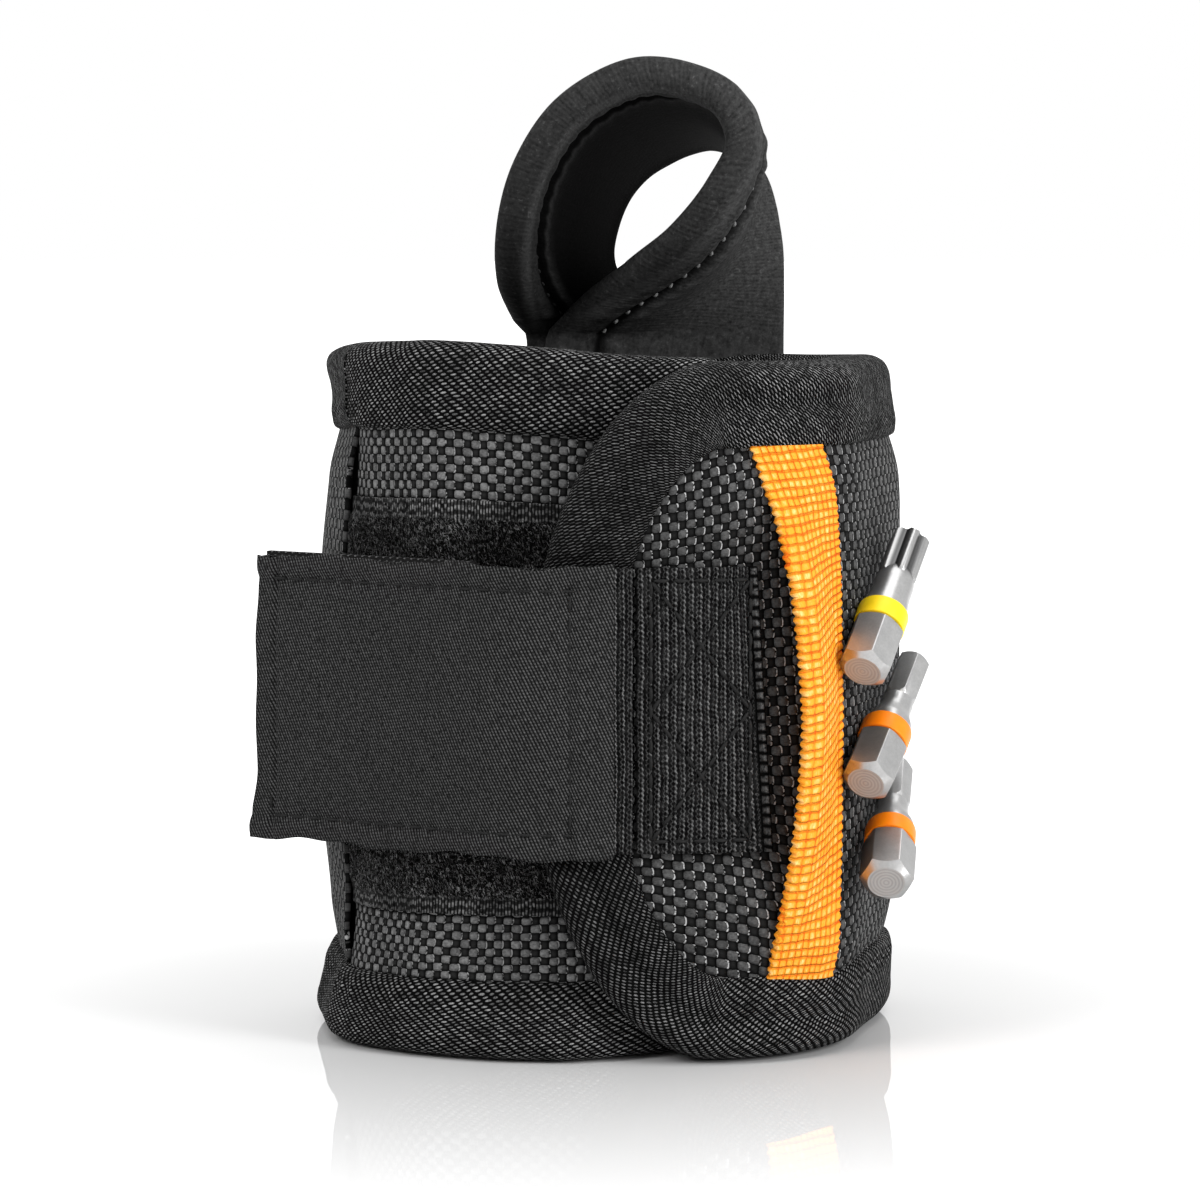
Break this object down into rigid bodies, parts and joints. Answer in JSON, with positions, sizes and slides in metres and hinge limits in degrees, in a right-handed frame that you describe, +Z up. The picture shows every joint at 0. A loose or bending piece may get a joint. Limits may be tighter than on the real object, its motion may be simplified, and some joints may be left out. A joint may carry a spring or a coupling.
{
  "type": "magnetic wristband",
  "caption": "Padded black wristband closed into a standing ring, with a hook-and-loop strap, thumb loop, orange ribbon and screwdriver bits held by magnets.",
  "frame": {"origin": "on the floor under the middle of the whole box, straps and thumb loop included", "axes": "+Z up along the wrist, -Y out through the closure, +X towards the side with the bits"},
  "size_m": [0.0932, 0.0708, 0.1318],
  "materials": {
    "nylon": "basket-weave nylon",
    "foam": "closed-cell foam",
    "lining": "knit",
    "binding": "puffy knit tape",
    "loop_tape": "brushed loop pile",
    "hook_tape": "moulded hooks",
    "elastic": "ribbed elastic",
    "patch": "fine twill",
    "ribbon": "orange webbing",
    "jersey": "smooth jersey",
    "bit_steel": "satin",
    "yellow_sleeve": "satin",
    "orange_sleeve": "satin",
    "magnet_steel": "nickel plated"
  },
  "bodies": {
    "band": {"cover_back": "nylon", "foam_back": "foam", "lining_back": "lining", "binding_back_top": "binding", "binding_back_bottom": "binding", "binding_inner_end": "binding", "loop_panel": "loop_tape", "magnet_4_1": "magnet_steel", "magnet_4_2": "magnet_steel", "magnet_4_3": "magnet_steel", "magnet_5_1": "magnet_steel", "magnet_5_2": "magnet_steel", "magnet_5_3": "magnet_steel"},
    "tongue": {"cover_tongue": "nylon", "foam_tongue": "foam", "lining_tongue": "lining", "binding_tongue": "binding", "strap_root": "elastic", "ribbon": "ribbon", "magnet_1_1": "magnet_steel", "magnet_1_2": "magnet_steel", "magnet_1_3": "magnet_steel", "magnet_2_1": "magnet_steel", "magnet_2_2": "magnet_steel", "magnet_2_3": "magnet_steel", "magnet_3_1": "magnet_steel", "magnet_3_2": "magnet_steel", "magnet_3_3": "magnet_steel"},
    "strap": {"strap_elastic": "elastic", "strap_hook_tape": "hook_tape", "strap_patch": "patch"},
    "thumb": {"thumb_loop": "jersey"},
    "top_bit": {"bit_top": "bit_steel", "bit_top_sleeve": "yellow_sleeve"},
    "middle_bit": {"bit_middle": "bit_steel", "bit_middle_sleeve": "orange_sleeve"},
    "bottom_bit": {"bit_bottom": "bit_steel", "bit_bottom_sleeve": "orange_sleeve"}
  },
  "joints": [
    {"name": "band_open", "type": "hinge", "parent": "band", "child": "tongue", "pos_m": [0.03256, 0.02603, 0], "axis": [0, 0, 1], "range_deg": [0, 65]},
    {"name": "strap_peel", "type": "hinge", "parent": "tongue", "child": "strap", "pos_m": [0.00478, -0.03342, 0.0455], "axis": [0, 0, 1], "range_deg": [0, 90]},
    {"name": "thumb_loop_flex", "type": "hinge", "parent": "band", "child": "thumb", "pos_m": [0.00929, 0.02762, 0.09435], "axis": [1, 0, 0], "range_deg": [-25, 25], "stiffness_Nm_per_rad": 0.05},
    {"name": "top_bit_pull", "type": "slide", "parent": "tongue", "child": "top_bit", "axis": [0.934, -0.3572, 0], "range_m": [0, 0.03]},
    {"name": "middle_bit_pull", "type": "slide", "parent": "tongue", "child": "middle_bit", "axis": [0.9369, -0.3496, 0], "range_m": [0, 0.03]},
    {"name": "bottom_bit_pull", "type": "slide", "parent": "tongue", "child": "bottom_bit", "axis": [0.9544, -0.2984, 0], "range_m": [0, 0.03]}
  ]
}
